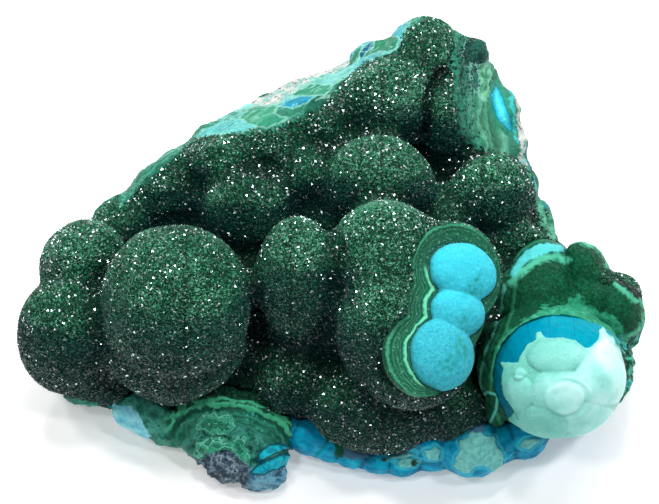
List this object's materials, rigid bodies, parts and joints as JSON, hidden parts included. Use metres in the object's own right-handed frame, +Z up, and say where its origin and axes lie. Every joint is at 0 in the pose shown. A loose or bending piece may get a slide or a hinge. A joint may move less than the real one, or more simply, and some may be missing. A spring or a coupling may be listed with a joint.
{
  "type": "chrysocolla specimen",
  "caption": "Botryoidal specimen of drusy green malachite lobes with turquoise chrysocolla, a pale ball in a blue rim and grey matrix, lying on its flat broken back",
  "frame": {"origin": "middle of the bounding box footprint, on the plane the specimen rests on", "axes": "+X along the longest extent, towards the pale ball; +Y away from the blue crusted front edge, towards the ridge; +Z up, the shortest extent"},
  "size_m": [0.0994, 0.0728, 0.0436],
  "materials": {
    "malachite": "drusy, glittering, banded where broken",
    "chrysocolla": "matte, velvety to waxy",
    "matrix": "rough, broken"
  },
  "bodies": {
    "root": {"specimen": "malachite"}
  },
  "joints": []
}
